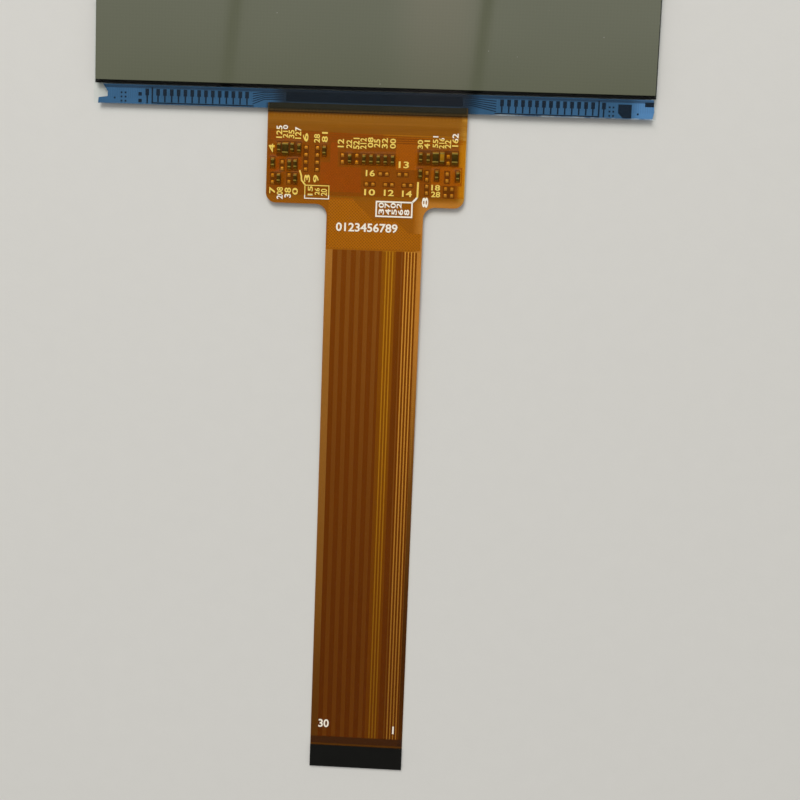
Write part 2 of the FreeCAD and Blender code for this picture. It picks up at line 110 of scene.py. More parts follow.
class Signal:
    """One output socket of a node tree, with arithmetic that adds Math nodes."""

    def __init__(self, graph: "Graph", socket: bpy.types.NodeSocket) -> None:
        """Keeps the graph and the socket."""
        self.graph = graph
        self.socket = socket

    def math(self, operation: str, first: object, second: object) -> "Signal":
        """Adds one Math node."""
        return self.graph.node("ShaderNodeMath", {"operation": operation}, {0: first, 1: second})

    def __add__(self, other: object) -> "Signal":
        """Sum."""
        return self.math("ADD", self, other)

    def __sub__(self, other: object) -> "Signal":
        """Difference."""
        return self.math("SUBTRACT", self, other)

    def __rsub__(self, other: object) -> "Signal":
        """Difference from a number."""
        return self.math("SUBTRACT", other, self)

    def __mul__(self, other: object) -> "Signal":
        """Product."""
        return self.math("MULTIPLY", self, other)

    def __truediv__(self, other: object) -> "Signal":
        """Quotient."""
        return self.math("DIVIDE", self, other)

    def __abs__(self) -> "Signal":
        """Distance from zero."""
        return self.math("ABSOLUTE", self, 0.0)

    def __lt__(self, other: object) -> "Signal":
        """1 where it is below a value."""
        return self.math("LESS_THAN", self, other)

    __radd__ = __add__
    __rmul__ = __mul__

    def step(self, low: float, high: float) -> "Signal":
        """A soft step.

        Args:
            low: the value at which the step is 0.
            high: the value at which it is 1.

        Returns:
            The step, which falls where high is the lower number.
        """
        return self.graph.node("ShaderNodeMapRange", {"interpolation_type": "SMOOTHSTEP"},
                               {"Value": self, "From Min": low, "From Max": high})

    def within(self, low: float, high: float, soft: float) -> "Signal":
        """A band that is 1 between two values, with soft ends."""
        return self.step(low - soft, low + soft) * self.step(high + soft, high - soft)

    def wave(self, pitch: float) -> "Signal":
        """A sine from 0 to 1 that repeats at a pitch."""
        return self.math("SINE", self * (2 * math.pi / pitch), 0.0) * 0.5 + 0.5


class Graph:
    """A node tree, and the one way in which nodes are added to it."""

    def __init__(self, tree: bpy.types.NodeTree) -> None:
        """Empties the tree and keeps it."""
        tree.nodes.clear()
        self.tree = tree

    @staticmethod
    def pick(sockets: object, key: object) -> bpy.types.NodeSocket:
        """A socket by its number, identifier or name."""
        if isinstance(key, int):
            return sockets[key]
        return next((s for s in sockets if s.identifier == key), None) or sockets[key]

    def node(self, kind: str, settings: dict | None = None, sockets: dict | None = None,
             output: object = 0) -> Signal:
        """Adds a node.

        Args:
            kind: the node's type.
            settings: its properties, set first.
            sockets: values or signals for its inputs.
            output: which output the signal is.

        Returns:
            The output as a signal.
        """
        made = self.tree.nodes.new(kind)
        for name, value in (settings or {}).items():
            setattr(made, name, value)
        for key, value in (sockets or {}).items():
            socket = self.pick(made.inputs, key)
            if isinstance(value, Signal):
                self.tree.links.new(value.socket, socket)
            elif socket.type == "RGBA":
                socket.default_value = (*value, 1.0)
            else:
                socket.default_value = value
        return Signal(self, self.pick(made.outputs, output))

    def millimetres(self) -> Signal:
        """Object coordinates in millimetres of the drawing."""
        place = self.node("ShaderNodeTexCoord", output="Object")
        return self.node("ShaderNodeVectorMath", {"operation": "MULTIPLY_ADD"},
                         {0: place, 1: (1 / MM,) * 3, 2: (0, -EDGE_Y / MM, 0)})

    def axes(self) -> tuple[Signal, Signal, Signal]:
        """The drawing's x, y and z as three signals."""
        split = self.node("ShaderNodeSeparateXYZ", sockets={0: self.millimetres()})
        return tuple(Signal(self, output) for output in split.socket.node.outputs)

    def cloud(self, feature: float, detail: float = 2.0, stretch: Triple = (1, 1, 1)) -> Signal:
        """Noise from 0 to 1.

        Args:
            feature: size of its patches in millimetres.
            detail: octaves.
            stretch: factors on the three axes before the noise.

        Returns:
            The noise.
        """
        place = self.node("ShaderNodeVectorMath", {"operation": "MULTIPLY"},
                          {0: self.millimetres(), 1: stretch})
        return self.node("ShaderNodeTexNoise", {},
                         {"Vector": place, "Scale": 1 / feature, "Detail": detail})

    def blend(self, share: object, first: object, second: object) -> Signal:
        """Mixes two colours."""
        return self.node("ShaderNodeMix", {"data_type": "RGBA"},
                         {"Factor_Float": share, "A_Color": first, "B_Color": second},
                         "Result_Color")

    def layers(self, colour: object, *over: tuple[object, object]) -> Signal:
        """Lays colours over a colour in turn, each with its share."""
        for share, top in over:
            colour = self.blend(share, colour, top)
        return colour

    def relief(self, height: Signal, depth: float) -> Signal:
        """A normal from a height of 0 to 1 and a depth in millimetres."""
        return self.node("ShaderNodeBump", {}, {"Distance": depth * MM, "Height": height,
                                                "Strength": 1.0})

    def principled(self, colour: object, roughness: object, **sockets: object) -> Signal:
        """A Principled shader, its other sockets in lower case, with gloss for the specular one."""
        named = {"gloss": "Specular IOR Level", "ior": "IOR"}
        others = {named.get(key) or key.title(): value for key, value in sockets.items()}
        return self.node("ShaderNodeBsdfPrincipled", {},
                         {"Base Color": colour, "Roughness": roughness, **others})

    def over(self, share: object, under: Signal, top: Signal) -> Signal:
        """Lays one shader over another."""
        return self.node("ShaderNodeMixShader", {}, {0: share, 1: under, 2: top})

    def clear(self, tint: Colour) -> Signal:
        """A surface that lets light straight through, tinted."""
        return self.node("ShaderNodeBsdfTransparent", {}, {"Color": tint})

    def sheen(self, index: float, **normal: Signal) -> Signal:
        """How much of the light a clear surface turns back, on its outer side only."""
        facing = self.node("ShaderNodeNewGeometry", output="Backfacing")
        return self.node("ShaderNodeFresnel", {}, {"IOR": index, **normal}) * (1 - facing)

    def end(self, shader: Signal, kind: str = "ShaderNodeOutputMaterial") -> None:
        """Sends a shader to the output."""
        out = self.tree.nodes.new(kind)
        self.tree.links.new(shader.socket, out.inputs["Surface"])


def weave(x: Signal, y: Signal, pitch: float) -> Signal:
    """A woven pattern: two slanted waves that cross."""
    return (x + y).wave(pitch) * (x - y).wave(pitch)


# Finishes

MADE: dict[str, bpy.types.Material] = {}


@dataclass(frozen=True)
class Finish:
    """A named finish that is made into a material once."""

    name: str

    def shader(self, graph: Graph) -> Signal:
        """The finish's surface, which each kind of finish gives."""
        raise NotImplementedError

    def material(self) -> bpy.types.Material:
        """The finish as a material."""
        if self.name not in MADE:
            made = bpy.data.materials.new(self.name)
            made.use_nodes = True
            graph = Graph(made.node_tree)
            graph.end(self.shader(graph))
            MADE[self.name] = made
        return MADE[self.name]


@dataclass(frozen=True)
class Mottled(Finish):
    """An even finish with faint mottling, fine relief and a little unevenness in its gloss."""

    dark: Colour
    light: Colour
    feature: float
    roughness: float
    spread: float = 0.1
    metallic: float = 0.0
    depth: float = 0.0
    grain: float = 0.1
    gloss: float = 0.5

    def shader(self, graph: Graph) -> Signal:
        """One Principled shader."""
        colour = graph.blend(graph.cloud(self.feature, 3.0), self.dark, self.light)
        fine = graph.cloud(self.grain)
        relief = {"normal": graph.relief(fine, self.depth)} if self.depth else {}
        return graph.principled(colour, (fine - 0.5) * self.spread + self.roughness,
                                metallic=self.metallic, gloss=self.gloss, **relief)


@dataclass(frozen=True)
class ClearGlass(Finish):
    """Clear thin glass with faint smears in its gloss."""

    tint: Colour = (0.97, 0.985, 0.98)
    index: float = 1.32
    roughness: float = 0.03

    def shader(self, graph: Graph) -> Signal:
        """Clear, with a glossy outer side."""
        smear = graph.cloud(6.0, 3.0).step(0.5, 0.8) * 0.06 + self.roughness
        gloss = graph.principled((1, 1, 1), smear, metallic=1.0)
        return graph.over(graph.sheen(self.index), graph.clear(self.tint), gloss)


@dataclass(frozen=True)
class GroundEdgeGlints(ClearGlass):
    """The glass's front edge: clear, and ground right of the flex, with painted glints in pale patches
    along it.
    """

    dull: Colour = paint(52, 84, 116)
    # pale: the colour of the painted glints
    pale: Colour = paint(214, 226, 232)

    def shader(self, graph: Graph) -> Signal:
        """Clear glass, with the ground line and its painted glints laid over its right part."""
        x, _, _ = graph.axes()
        # Painted glints: pale patches along the ground edge.
        glint = graph.cloud(2.4, 3.0, (1.0, 0.2, 0.2)).step(0.4, 0.62)
        ground = graph.principled(graph.blend(glint, self.dull, self.pale), 0.5)
        return graph.over(x.step(16.5, 19.5) * 0.9, super().shader(graph), ground)


@dataclass(frozen=True)
class Polariser(Finish):
    """Polarising film over the cell: olive grey with a faint grid, satin gloss and stray dust."""

    dark: Colour = (0.112, 0.120, 0.077)
    light: Colour = (0.127, 0.135, 0.088)
    thread: Colour = (0.05, 0.053, 0.032)
    speck: Colour = (0.5, 0.5, 0.46)
    roughness: float = 0.045

    def shader(self, graph: Graph) -> Signal:
        """Broad clouds and a fine grid in the colour, streaks in the gloss and a few specks."""
        streaks = graph.cloud(0.6, 3.0, (1.0, 0.08, 1.0))
        speck = graph.node("ShaderNodeTexVoronoi", {}, {"Vector": graph.millimetres(), "Scale": 0.35})
        dust = speck.step(0.035, 0.02) * 0.35
        x, y, _ = graph.axes()
        grid = (x.wave(0.52) + y.wave(0.52)) * 0.045
        colour = graph.layers(self.dark, (graph.cloud(18.0, 1.0), self.light), (grid, self.thread),
                              (dust, self.speck))
        return graph.principled(colour, (streaks - 0.5) * 0.04 + self.roughness, ior=1.6,
                                normal=graph.relief(graph.cloud(0.25), 0.0003))


@dataclass(frozen=True)
class LedgeCoat(Finish):
    """The blue coat on the ledge, a little lighter towards its ends, with faint lines in it."""

    deep: Colour = paint(43, 82, 115)
    pale: Colour = paint(59, 105, 147)
    end: Colour = paint(92, 142, 195)
    line: Colour = paint(22, 48, 76)
    shadow: Colour = paint(18, 34, 56)
    night: Colour = paint(19, 28, 38)
    chip_zone: Point = (-15.3, 16.0)
    flex_zone: Point = (-16.8, 15.2)

    def shader(self, graph: Graph) -> Signal:
        """Blue that varies along the ledge, and a darker one over the chip and the flex."""
        x, y, _ = graph.axes()
        ends = x.step(40.0, 42.5) * 0.85 + x.step(18.0, 30.0) * 0.1 + x.step(-35.0, -38.5) * 0.14
        colour = graph.layers(
            self.deep,
            (graph.cloud(2.6, 3.0, (1, 0.6, 1)), self.pale),
            (ends, self.end),
            (x.wave(0.36) * y.within(1.0, 2.6, 0.2) * 0.16, self.line),
            (y.within(2.55, 2.95, 0.08) * 0.6, self.shadow),
            (x.within(*self.chip_zone, 1.5) * 0.9, self.night),
            (x.within(*self.flex_zone, 0.4) * y.step(1.0, 0.85), self.night),
            (x.within(-13.0, 14.0, 0.4) * y.within(0.97, 1.04, 0.03) * 0.5, self.deep),
        )
        return graph.principled(colour, 0.5, gloss=0.1)


@dataclass(frozen=True)
class BaseFilm(Finish):
    """The amber base: lighter where no copper backs it, striped along the tail, painted shade by the
    glass and at the tail's end.
    """

    head: Colour = (0.33, 0.155, 0.012)
    rim: Colour = (0.66, 0.47, 0.22)
    taped: Colour = (0.84, 0.72, 0.60)
    strip: Colour = (0.42, 0.24, 0.07)
    neck: Colour = (0.46, 0.195, 0.016)
    hatch: Colour = (0.10, 0.03, 0.002)
    margin: Colour = (0.53, 0.31, 0.23)
    backed: Colour = (0.27, 0.112, 0.055)
    gold: Colour = (0.66, 0.40, 0.05)
    bright: Colour = (0.94, 0.60, 0.34)
    right: Colour = (0.72, 0.42, 0.28)
    far: Colour = (0.02, 0.008, 0.002)
    red: Colour = (0.09, 0.01, 0.008)
    tail_shade: Colour = (0.02, 0.0, 0.0)
    end: Colour = (0.034, 0.013, 0.03)
    end_line: Colour = (0.10, 0.045, 0.022)
    band: Colour = (0.22, 0.10, 0.01)
    shade: Colour = (0.05, 0.03, 0.004)
    stain: Colour = (0.12, 0.05, 0.01)

    def tail(self, graph: Graph, x: Signal) -> Signal:
        """The colour across the tail, from its right edge to its left."""
        return graph.layers(self.right, (x < 8.02, self.bright), (x < 5.9, self.backed),
                            (x < 4.6, self.gold), (x < 2.5, self.backed), (x < -5.62, self.margin))

    @staticmethod
    def margin_shade(x: Signal, y: Signal) -> Signal:
        """How much painted shade darkens the tail's two clear margins towards its end."""
        left = y.step(-22.0, -40.0) * 0.2 + y.step(-50.0, -80.0) * 0.12 + y.step(-78.0, -100.0) * 0.45
        right = y.step(-30.0, -50.0) * 0.35 + y.step(-42.0, -62.0) * 0.44 + y.step(-60.0, -92.0) * 0.2
        return x.step(-5.5, -5.7) * left + x.step(7.95, 8.1) * right

    def shader(self, graph: Graph) -> Signal:
        """Head, neck and tail in turn, with painted shade under the glass and towards the tail's end."""
        x, y, _ = graph.axes()
        neck = graph.blend(x.step(7.0, 8.7) * 0.85, self.neck, self.right)
        hatch = (x * 0.8 + y).wave(0.42) * y.within(-21.0, -13.8, 0.3) * (1 - x.step(7.0, 7.6))
        strips = x.within(-5.6, 2.4, 0.05) * (y.step(-24.0, -64.0) * 0.34 + y.step(-50.0, -104.0) * 0.2)
        chain = y.wave(0.34) * x.within(8.2, 8.34, 0.08) * y.within(-59.0, -44.0, 3.0)
        bands = graph.cloud(0.45, 1.0, (0.03, 1.0, 1.0)).step(0.35, 0.65) * y.within(-5.2, -1.3, 0.4)
        colour = graph.layers(
            self.head,
            (x.step(13.6, 15.0), self.rim),
            (x.step(13.8, 14.6) * y.within(-13.0, -4.0, 0.3), self.taped),
            (y.within(-2.1, -1.15, 0.3) * 0.6, self.strip),
            (y.step(*NECK_TURN), neck),
            (hatch * 0.3, self.hatch),
            (y < TAIL_START, self.tail(graph, x)),
            # painted shade: the whole tail darker towards its far end
            (y.step(-26.0, -104.0) * 0.57, self.far),
            (strips, self.red),
            # painted shade: the clear margins darker still towards the end
            (self.margin_shade(x, y), self.tail_shade),
            (chain * 0.55, self.bright),
            (y.step(*END_ZONE), self.end),
            (y.within(-104.75, -104.38, 0.05), self.end_line),
            (bands * 0.3, self.band),
            (y.step(*EDGE_SHADE), self.shade),
            (graph.cloud(0.35, 3.0) * 0.18, self.stain),
        )
        return graph.principled(colour, 0.4, gloss=0.15, normal=graph.relief(graph.cloud(0.4), 0.002))


@dataclass(frozen=True)
class ClearFilm(Finish):
    """Amber film that shows what lies under it, with a thin gloss on its outer side."""

    tint: Colour = (0.97, 0.90, 0.62)
    own: Colour = (0.45, 0.14, 0.004)
    pale: Colour = (0.50, 0.17, 0.006)
    # under: the dark colour of painted shade by the glass's edge
    under: Colour = paint(44, 32, 8)
    share: float = 0.08
    index: float = 1.27
    roughness: float = 0.16
    ripple: float = 6.0
    depth: float = 0.02
    shaded: bool = False

    def shader(self, graph: Graph) -> Signal:
        """Clear film, some colour of its own, and gloss on top."""
        own = graph.principled(graph.blend(graph.cloud(0.8, 3.0), self.own, self.pale), 0.5, gloss=0.0)
        share = graph.cloud(1.6, 3.0) * 0.04 + (self.share - 0.02)
        if self.shaded:
            x, y, _ = graph.axes()
            # Painted shade: the right margin darker towards the tail's end; the drop in the end zone is
            # the film's own darker end.
            margin = x.step(7.9, 8.1) * y.within(END_ZONE[0], -66.0, 16.0)
            thin = y.step(*END_ZONE) * 0.75 + margin * 0.5
            # Painted shade by the glass's edge: the dark under colour takes over there.
            share = share * (1 - thin) + y.step(-0.9, 0.1) * 0.75
            own = graph.over(y.step(-0.9, -0.3), own, graph.principled(self.under, 0.5, gloss=0.0))
        normal = graph.relief(graph.cloud(self.ripple, 2.0), self.depth)
        gloss = graph.principled((1, 1, 1), graph.cloud(2.0) * 0.1 + self.roughness, metallic=1.0,
                                 normal=normal)
        inner = graph.over(share, graph.clear(self.tint), own)
        return graph.over(graph.sheen(self.index, Normal=normal), inner, gloss)


@dataclass(frozen=True)
class FilmCopper(Finish):
    """Copper seen through the cover film: its own colour over one span, a fine hatch, faint drift."""

    near: Colour = (0.45, 0.155, 0.002)
    far: Colour = (0.615, 0.268, 0.02)
    turn: Point = (-13.4, -14.2)
    hatch: float = 0.5
    depth: float = 0.24
    neck_depth: float = 0.4
    part: Colour = (0.60, 0.32, 0.006)
    groove: Colour = (0.05, 0.015, 0.002)
    span: Point = (2.0, 20.0)

    def shader(self, graph: Graph) -> Signal:
        """Two colours along the flex and one across it, with the hatch worked into them."""
        x, y, _ = graph.axes()
        colour = graph.layers(self.near, (x.within(*self.span, 0.4) * 0.8, self.part),
                              (y.step(*self.turn), self.far))
        worked = weave(x, y, self.hatch) * (y.step(*self.turn) * self.neck_depth + self.depth)
        colour = graph.blend(worked + graph.cloud(1.2, 3.0) * 0.12, colour, self.groove)
        return graph.principled(colour, 0.42, metallic=0.15, gloss=0.15)


@dataclass(frozen=True)
class TrackCopper(Finish):
    """The tail's tracks under the cover film: deep amber, golden along one group, with a weave and
    painted shade.
    """

    near: Colour = (0.255, 0.07, 0.003)
    far: Colour = (0.080, 0.004, 0.001)
    golden: Colour = (0.385, 0.165, 0.01)
    groove: Colour = (0.04, 0.008, 0.001)
    group: Point = (2.35, 4.65)
    hatch: float = 0.42

    def shader(self, graph: Graph) -> Signal:
        """Amber darkened by painted shade along the tail, crossed by a fine weave."""
        x, y, _ = graph.axes()
        # painted shade: the tracks darker towards the tail's far end
        along = y.step(-8.0, -105.0)
        colour = graph.blend(along, self.near, self.far)
        golden = graph.blend(along * 0.78, self.golden, self.far)
        colour = graph.blend(x.within(*self.group, 0.05), colour, golden)
        woven = weave(x, y, self.hatch)
        streaks = graph.cloud(0.3, 3.0, (1.0, 0.05, 1.0))
        check = woven * x.within(4.75, 5.5, 0.1) * y.within(-66.0, -30.0, 3.0) * 0.5
        colour = graph.blend(woven * 0.16 + check + streaks * 0.25, colour, self.groove)
        return graph.principled(colour, 0.42, metallic=0.15, gloss=0.15)


# A mottled finish gives two colours, its patches' size, its roughness and, if not 0.1, its spread.
CAPACITOR_BODY = Mottled("capacitor_ceramic", paint(40, 31, 19), paint(58, 45, 28), 0.3, 0.6, gloss=0.1)
RESISTOR_BODY = Mottled("resistor_glaze", paint(16, 15, 14), paint(26, 24, 21), 0.3, 0.4, gloss=0.3)
INDUCTOR_BODY = Mottled("inductor_ferrite", paint(20, 20, 15), paint(34, 33, 24), 0.25, 0.55, gloss=0.2)
DIODE_BODY = Mottled("diode_mould", paint(150, 126, 74), paint(180, 154, 98), 0.3, 0.5, gloss=0.3)
TINNED = Mottled("tinned_end", paint(84, 74, 56), paint(176, 166, 142), 0.12, 0.45, 0.2,
                 metallic=0.35, depth=0.006)
SOLDER = Mottled("solder", paint(78, 60, 38), paint(150, 128, 98), 0.14, 0.42, 0.16,
                 metallic=0.4, depth=0.006)
DOME_METAL = Mottled("dome_metal", paint(170, 118, 78), paint(216, 168, 124), 0.2, 0.3, metallic=0.35)
WINDOW_FLOOR = Mottled("window_floor", paint(88, 42, 4), paint(108, 54, 7), 0.4, 0.45, gloss=0.1)
INK = Mottled("white_ink", paint(240, 232, 214), paint(253, 247, 231), 0.5, 0.62, depth=0.002)
SILICON = Mottled("chip_silicon", paint(10, 20, 30), paint(16, 27, 39), 2.0, 0.4, 0.06, gloss=0.05)
LEDGE_METAL = Mottled("ledge_conductor", paint(8, 24, 40), paint(15, 36, 56), 0.6, 0.4, gloss=0.1)
SEAL = Mottled("cell_sealant", paint(10, 11, 11), paint(17, 18, 17), 0.8, 0.5, gloss=0.2)
PANEL_GLASS = ClearGlass("panel_glass")
# The glass's ground front edge, with painted glints.
GROUND_EDGE_GLINTS = GroundEdgeGlints("ground_edge_glints")
COVER_FILM = ClearFilm("amber_cover", shaded=True)
TAPE_FILM = ClearFilm("amber_tape", tint=(0.975, 0.865, 0.42), own=(0.5, 0.3, 0.01),
                      pale=(0.55, 0.34, 0.015), share=0.03, index=1.13, roughness=0.34, ripple=3.0)

NODE_FINISHES: dict[str, Finish] = {
    "colour_filter_glass": PANEL_GLASS,
    "seal_frame": SEAL,
    "driver_chip": SILICON,
    "chip_bond": SILICON,
    "rear_polariser": Polariser("rear_film"),
    "front_polariser": Polariser("front_film", paint(20, 23, 24), paint(26, 29, 30), roughness=0.08),
    "colour_filter": Mottled("filter_layer", paint(14, 15, 16), paint(20, 21, 22), 0.4, 0.35),
    "liquid_crystal": Mottled("crystal_layer", paint(30, 34, 30), paint(38, 42, 36), 2.0, 0.3),
    "flex_bond": Mottled("bond_film", paint(28, 26, 12), paint(42, 37, 18), 1.2, 0.5, gloss=0.1),
    "ledge_coat": LedgeCoat("ledge_blue"),
    "base_film": BaseFilm("amber_base"),
    "bottom_cover_film": Mottled("under_film", paint(148, 92, 24), paint(164, 106, 34), 1.6, 0.36),
    "head_copper": FilmCopper("head_copper_plane"),
    "tail_tracks": TrackCopper("tail_copper"),
    "return_tracks": Mottled("return_copper", paint(150, 84, 30), paint(166, 96, 38), 1.0, 0.4,
                             metallic=0.3),
    # The fingers' dark far colour is painted shade by the glass's edge.
    "bond_fingers": FilmCopper("finger_metal", near=(0.37, 0.205, 0.05), far=(0.035, 0.022, 0.004),
                               turn=EDGE_SHADE, depth=0.06, part=(0.37, 0.205, 0.05)),
    "contact_fingers": Mottled("contact_gold", paint(214, 170, 84), paint(232, 192, 108), 0.5, 0.26,
                               metallic=1.0),
    "contact_stiffener": Mottled("black_stiffener", paint(15, 15, 13), paint(22, 22, 19), 2.0, 0.5, 0.14,
                                 depth=0.004, gloss=0.25),
    "solder_pads": Mottled("pad_metal", paint(158, 104, 62), paint(208, 150, 100), 0.22, 0.42, 0.14,
                           metallic=0.3, depth=0.003),
}


# Pieces


class Workpiece:
    """A bmesh that is shaped step by step and then becomes one piece of the panel."""

    def __init__(self, name: str) -> None:
        """Starts empty."""
        self.name = name
        self.mesh = bmesh.new()

    def block(self, low: Vector, high: Vector, edge: float = 0.0, segments: int = 2,
              index: int = 0) -> None:
        """Adds a box with rounded edges.

        Args:
            low: lowest corner in the model.
            high: highest corner.
            edge: radius of its edges in metres.
            segments: steps round an edge.
            index: material index of its faces.
        """
        size, middle = high - low, (high + low) / 2
        place = Matrix.Translation(middle) @ Matrix.Diagonal((*size, 1.0))
        made = bmesh.ops.create_cube(self.mesh, size=1.0, matrix=place)["verts"]
        for face in {face for vert in made for face in vert.link_faces}:
            face.material_index = index
        if edge:
            edges = list({e for vert in made for e in vert.link_edges})
            bmesh.ops.bevel(self.mesh, geom=edges, offset=edge, segments=segments, profile=0.5,
                            affect="EDGES", material=-1)

    def thicken(self, faces: list[bmesh.types.BMFace], way: Vector) -> None:
        """Draws faces out along a vector into a closed body."""
        grown = bmesh.ops.extrude_face_region(self.mesh, geom=faces, use_keep_orig=True)["geom"]
        moved = [item for item in grown if isinstance(item, bmesh.types.BMVert)]
        bmesh.ops.translate(self.mesh, verts=moved, vec=way)

    def face(self, points: list[Vector]) -> bmesh.types.BMFace:
        """Adds one flat face by its corners in the model."""
        return self.mesh.faces.new([self.mesh.verts.new(point) for point in points])

    def done(self, slot: str, finishes: list[Finish], replaced: tuple[str, ...] = (),
             smooth: bool = False) -> bpy.types.Object:
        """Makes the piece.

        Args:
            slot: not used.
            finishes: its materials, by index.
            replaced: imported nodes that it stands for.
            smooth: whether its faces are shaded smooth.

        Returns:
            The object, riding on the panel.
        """
        bmesh.ops.recalc_face_normals(self.mesh, faces=self.mesh.faces[:])
        data = bpy.data.meshes.new(self.name)
        self.mesh.to_mesh(data)
        self.mesh.free()
        for finish in finishes:
            data.materials.append(finish.material())
        for polygon in data.polygons:
            polygon.use_smooth = smooth
        piece = add_object(self.name, data)
        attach(piece, ROOT)
        if replaced:
            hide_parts(*replaced)
        LOG.info("%s: %d faces", self.name, len(data.polygons))
        return piece


class PartKind(Enum):
    """Kinds of chip part: the name that begins its nodes' names, and its body's finish."""

    CAPACITOR = ("chip_capacitor", CAPACITOR_BODY)
    RESISTOR = ("chip_resistor", RESISTOR_BODY)
    INDUCTOR = ("chip_inductor", INDUCTOR_BODY)
    DIODE = ("diode", DIODE_BODY)

    def nodes(self) -> list[str]:
        """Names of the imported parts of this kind."""
        return sorted(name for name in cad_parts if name.startswith(self.value[0] + "_"))


@dataclass
class ChipParts:
    """The chip parts on the head: bodies with wrapped tinned ends, and their solder."""

    end_share: float = 0.2
    wrap: float = 0.02
    edge: float = 0.035
    reach: float = 0.22
    seat: float = 0.015
    climb: float = 0.62
    hollow: float = 2.4
    tuck: float = 0.6
    steps: int = 6

    def build_part(self, node: str, kind: PartKind) -> None:
        """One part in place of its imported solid."""
        slot, body = kind.value
        low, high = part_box(node)
        wrap, end, edge = self.wrap * MM, self.end_share * MM, self.edge * MM
        piece = Workpiece(node + "_dressed")
        inner = Vector((wrap, end * self.tuck, wrap))
        piece.block(low + inner, high - inner, edge * self.tuck, 1, 0)
        for near, far in ((low.y, low.y + end), (high.y - end, high.y)):
            piece.block(Vector((low.x, near, low.z)), Vector((high.x, far, high.z)), edge, 3, 1)
        piece.done(slot, [body, TINNED], (node,), smooth=True)

    def fillet(self, piece: Workpiece, node: str, side: int) -> None:
        """Solder at one end of a part: a seat under it and a hollow slope up its end."""
        low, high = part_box(node)
        end = high.y if side > 0 else low.y
        seat, reach = self.seat * MM, self.reach * MM
        foot = low.z - seat
        inward = end - side * self.end_share * MM
        ring = [Vector((low.x, inward, foot)), Vector((low.x, end + side * reach, foot))]
        for step in range(self.steps + 1):
            share = step / self.steps
            rise = seat + self.climb * (high.z - low.z) * share ** self.hollow
            ring.append(Vector((low.x, end + side * reach * (1 - share), foot + rise)))
        ring += [Vector((low.x, end, low.z)), Vector((low.x, inward, low.z))]
        piece.thicken([piece.face(ring)], Vector((high.x - low.x, 0, 0)))

    def build(self) -> None:
        """All the parts and one piece of solder."""
        solder = Workpiece("solder_fillets")
        for kind in PartKind:
            for node in kind.nodes():
                self.build_part(node, kind)
                for side in (-1, 1):
                    self.fillet(solder, node, side)
        solder.done("tin", [SOLDER], ("solder_joints",))


def bodies(node: str, openings: bool = False) -> list[Box]:
    """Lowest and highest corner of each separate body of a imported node.

    Args:
        node: the node's name.
        openings: whether only upright faces count, so that each opening's rim is a body.

    Returns:
        The corners in the model.
    """
    mesh = bmesh.new()
    mesh.from_mesh(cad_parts[node].data)
    bmesh.ops.remove_doubles(mesh, verts=mesh.verts[:], dist=MERGED)
    if openings:
        level = [face for face in mesh.faces if abs(face.normal.z) > 0.5]
        bmesh.ops.delete(mesh, geom=level, context="FACES")
    found = []
    for start in mesh.verts:
        if start.tag:
            continue
        start.tag = True
        group = [start]
        for vert in group:
            for edge in vert.link_edges:
                other = edge.other_vert(vert)
                if not other.tag:
                    other.tag = True
                    group.append(other)
        found.append(corners(group))
    mesh.free()
    return found


@dataclass
class CoverWindows:
    """Darker floors in the cover film's windows, where the bare base shows round the pads."""

    thickness: float = 0.004

    def build(self) -> None:
        """One thin plate in each opening; the widest one is the film's own outline."""
        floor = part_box("solder_pads")[0].z
        rims = sorted(bodies("top_cover_film", openings=True), key=lambda rim: rim[1].x - rim[0].x)
        piece = Workpiece("window_floors")
        for low, high in rims[:-1]:
            low.z, high.z = floor, floor + self.thickness * MM
            piece.block(low, high)
        piece.done("base_film", [WINDOW_FLOOR])


@dataclass
class PadDomes:
    """Low rounded solder on the pads that carry no part."""

    height: float = 0.032
    spread: float = 1.04
    sunk: float = 0.2
    around: int = 16
    rings: int = 8

    def build(self) -> None:
        """One flat dome on each bare pad."""
        parts = [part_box(node) for kind in PartKind for node in kind.nodes()]
        reach = ChipParts.reach * MM
        piece = Workpiece("solder_domes")
        for low, high in bodies("solder_pads"):
            middle = (low + high) / 2
            if any(a.x < middle.x < b.x and a.y - reach < middle.y < b.y + reach for a, b in parts):
                continue
            middle.z = high.z
            size = (high - low) * self.spread / 2
            place = Matrix.Translation(middle) @ Matrix.Diagonal((size.x, size.y, self.height * MM, 1.0))
            made = bmesh.ops.create_uvsphere(piece.mesh, u_segments=self.around, v_segments=self.rings,
                                             radius=1.0, matrix=place)["verts"]
            for vert in made:
                if vert.co.z < high.z:
                    vert.co.z = high.z + (vert.co.z - high.z) * self.sunk
        piece.done("tin", [DOME_METAL], smooth=True)


